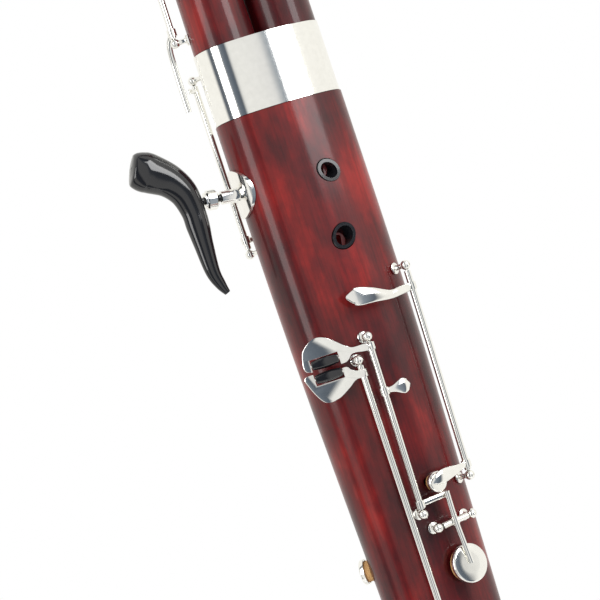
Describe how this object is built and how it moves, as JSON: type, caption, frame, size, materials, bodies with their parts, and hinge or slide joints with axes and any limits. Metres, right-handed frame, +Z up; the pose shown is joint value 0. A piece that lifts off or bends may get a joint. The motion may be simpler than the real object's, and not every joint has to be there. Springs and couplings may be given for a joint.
{
  "type": "quart bassoon",
  "caption": "Quart bassoon in red stained maple with silver keywork, roller keys, black hand rest, curved bocal and bell, standing upright on its boot.",
  "frame": {"origin": "middle of the flat underside of the boot cap", "axes": "+Z up the instrument, -Y the side of the finger holes, -X the wing joint and the hand rest"},
  "size_m": [0.1051, 0.1807, 0.9996],
  "materials": {
    "red_maple": "gloss",
    "silver_plate": "gloss",
    "black_resin": "gloss",
    "cork": "matte",
    "tan_leather": "matte"
  },
  "bodies": {
    "instrument": {"a_flat_key_posts": "silver_plate", "b_flat_key_posts": "silver_plate", "bell": "red_maple", "bell_band": "silver_plate", "bell_ring": "silver_plate", "boot_body": "red_maple", "boot_cap": "silver_plate", "crutch_plate": "silver_plate", "e_key_posts": "silver_plate", "f_sharp_key_posts": "silver_plate", "finger_bushing_lower": "black_resin", "finger_bushing_upper": "black_resin", "g_key_posts": "silver_plate", "high_a_key_posts": "silver_plate", "long_joint": "red_maple", "long_tenon_cord": "cork", "long_top_tenon_cord": "cork", "low_b_key_posts": "silver_plate", "low_c_key_posts": "silver_plate", "low_d_key_posts": "silver_plate", "low_f_lever_posts": "silver_plate", "low_f_pad_key_posts": "silver_plate", "top_ferrule": "silver_plate", "u_bend": "silver_plate", "whisper_key_posts": "silver_plate", "wing_joint": "red_maple", "wing_tenon_cord": "cork", "wing_top_band": "silver_plate"},
    "g_key": {"g_key": "silver_plate", "g_key_pad": "tan_leather"},
    "low_f_lever": {"low_f_lever": "silver_plate"},
    "low_f_roller": {"low_f_roller": "black_resin"},
    "low_f_pad_key": {"low_f_pad_key": "silver_plate", "low_f_pad": "tan_leather"},
    "a_flat_key": {"a_flat_key": "silver_plate", "a_flat_pad": "tan_leather"},
    "a_flat_roller": {"a_flat_roller": "black_resin"},
    "e_key": {"e_key": "silver_plate", "e_pad": "tan_leather"},
    "whisper_key": {"whisper_key": "silver_plate", "whisper_pad": "tan_leather"},
    "f_sharp_key": {"f_sharp_key": "silver_plate", "f_sharp_key_pad": "tan_leather"},
    "b_flat_key": {"b_flat_key": "silver_plate", "b_flat_key_pad": "tan_leather"},
    "high_a_key": {"high_a_key": "silver_plate", "high_a_key_pad": "tan_leather"},
    "low_d_key": {"low_d_key": "silver_plate", "low_d_key_pad": "tan_leather"},
    "low_c_key": {"low_c_key": "silver_plate", "low_c_key_pad": "tan_leather"},
    "low_b_key": {"low_b_key": "silver_plate", "low_b_key_pad": "tan_leather"},
    "crutch": {"crutch": "black_resin"},
    "crutch_nut": {"crutch_nut": "silver_plate"},
    "bocal": {"bocal": "silver_plate", "bocal_cork": "cork"}
  },
  "joints": [
    {"name": "g_key_hinge", "type": "hinge", "parent": "instrument", "child": "g_key", "pos_m": [0.0226, -0.01657, 0.1317], "axis": [0.0212, -0.0085, 0.9997], "range_deg": [-5, 0], "stiffness_Nm_per_rad": 0.02, "springref_deg": 17.19},
    {"name": "low_f_lever_hinge", "type": "hinge", "parent": "instrument", "child": "low_f_lever", "pos_m": [-0.004, -0.02159, 0.1242], "axis": [0.0107, -0.0171, 0.9998], "range_deg": [-5.2, 0], "stiffness_Nm_per_rad": 0.02, "springref_deg": 17.19},
    {"name": "low_f_pad_key_hinge", "type": "hinge", "parent": "instrument", "child": "low_f_pad_key", "pos_m": [0.00044, -0.02111, 0.1168], "axis": [0.9853, 0.1706, 0.0116], "range_deg": [0, 5.5], "stiffness_Nm_per_rad": 0.02, "springref_deg": -17.19},
    {"name": "a_flat_key_hinge", "type": "hinge", "parent": "instrument", "child": "a_flat_key", "pos_m": [-0.0089, -0.01961, 0.05], "axis": [-0.0053, -0.0173, 0.9998], "range_deg": [-6, 0], "stiffness_Nm_per_rad": 0.02, "springref_deg": 17.19},
    {"name": "e_key_hinge", "type": "hinge", "parent": "instrument", "child": "e_key", "pos_m": [-0.02618, 0.0167, 0.2458], "axis": [-0.0001, 0.0001, 1], "range_deg": [-5.5, 0], "stiffness_Nm_per_rad": 0.02, "springref_deg": 17.19},
    {"name": "whisper_key_hinge", "type": "hinge", "parent": "instrument", "child": "whisper_key", "pos_m": [-0.03202, 0.00492, 0.337], "axis": [0.0102, -0.0027, 0.9999], "range_deg": [0, 2.75], "stiffness_Nm_per_rad": 0.02, "springref_deg": -17.19},
    {"name": "f_sharp_key_hinge", "type": "hinge", "parent": "instrument", "child": "f_sharp_key", "pos_m": [0.01429, 0.02032, 0.15], "axis": [0.0113, 0.0119, 0.9999], "range_deg": [0, 6], "stiffness_Nm_per_rad": 0.02, "springref_deg": -17.19},
    {"name": "b_flat_key_hinge", "type": "hinge", "parent": "instrument", "child": "b_flat_key", "pos_m": [-0.01346, 0.01945, 0.095], "axis": [-0.0147, 0.0155, 0.9998], "range_deg": [-6, 0], "stiffness_Nm_per_rad": 0.02, "springref_deg": 17.19},
    {"name": "high_a_key_hinge", "type": "hinge", "parent": "instrument", "child": "high_a_key", "pos_m": [-0.01306, 0.01696, 0.5597], "axis": [-0.0004, -0.0106, 0.9999], "range_deg": [0, 6], "stiffness_Nm_per_rad": 0.02, "springref_deg": -17.19},
    {"name": "low_d_key_hinge", "type": "hinge", "parent": "instrument", "child": "low_d_key", "pos_m": [0.0295, 0.0111, 0.3852], "axis": [-0.0008, -0.0005, 1], "range_deg": [0, 5], "stiffness_Nm_per_rad": 0.02, "springref_deg": -17.19},
    {"name": "low_c_key_hinge", "type": "hinge", "parent": "instrument", "child": "low_c_key", "pos_m": [0.02941, 0.01104, 0.49915], "axis": [-0.0008, -0.0005, 1], "range_deg": [0, 5], "stiffness_Nm_per_rad": 0.02, "springref_deg": -17.19},
    {"name": "low_b_key_hinge", "type": "hinge", "parent": "instrument", "child": "low_b_key", "pos_m": [0.03284, 0.00168, 0.4798], "axis": [-0.0009, -0.0001, 1], "range_deg": [0, 5], "stiffness_Nm_per_rad": 0.02, "springref_deg": -17.19},
    {"name": "low_f_roller_spin", "type": "hinge", "parent": "low_f_lever", "child": "low_f_roller", "pos_m": [-0.02274, -0.02042, 0.1947], "axis": [0.9397, -0.342, 0], "continuous": true},
    {"name": "a_flat_roller_spin", "type": "hinge", "parent": "a_flat_key", "child": "a_flat_roller", "pos_m": [-0.02293, -0.02035, 0.1891], "axis": [0.9397, -0.342, 0], "continuous": true},
    {"name": "crutch_swivel", "type": "hinge", "parent": "instrument", "child": "crutch", "pos_m": [-0.0279, 0, 0.2699], "axis": [-0.9945, 0, 0.1045], "range_deg": [-30, 30]},
    {"name": "crutch_nut_spin", "type": "hinge", "parent": "instrument", "child": "crutch_nut", "pos_m": [-0.03755, 0, 0.27091], "axis": [-0.9945, 0, 0.1045], "continuous": true},
    {"name": "bocal_turn", "type": "hinge", "parent": "instrument", "child": "bocal", "pos_m": [-0.01365, 0, 0.6733], "axis": [0, 0, 1], "range_deg": [-10, 10]}
  ],
  "couplings": [
    {"joint": "low_f_pad_key_hinge", "follows": "low_f_lever_hinge", "ratio": -1.05},
    {"joint": "whisper_key_hinge", "follows": "e_key_hinge", "ratio": -0.5}
  ]
}
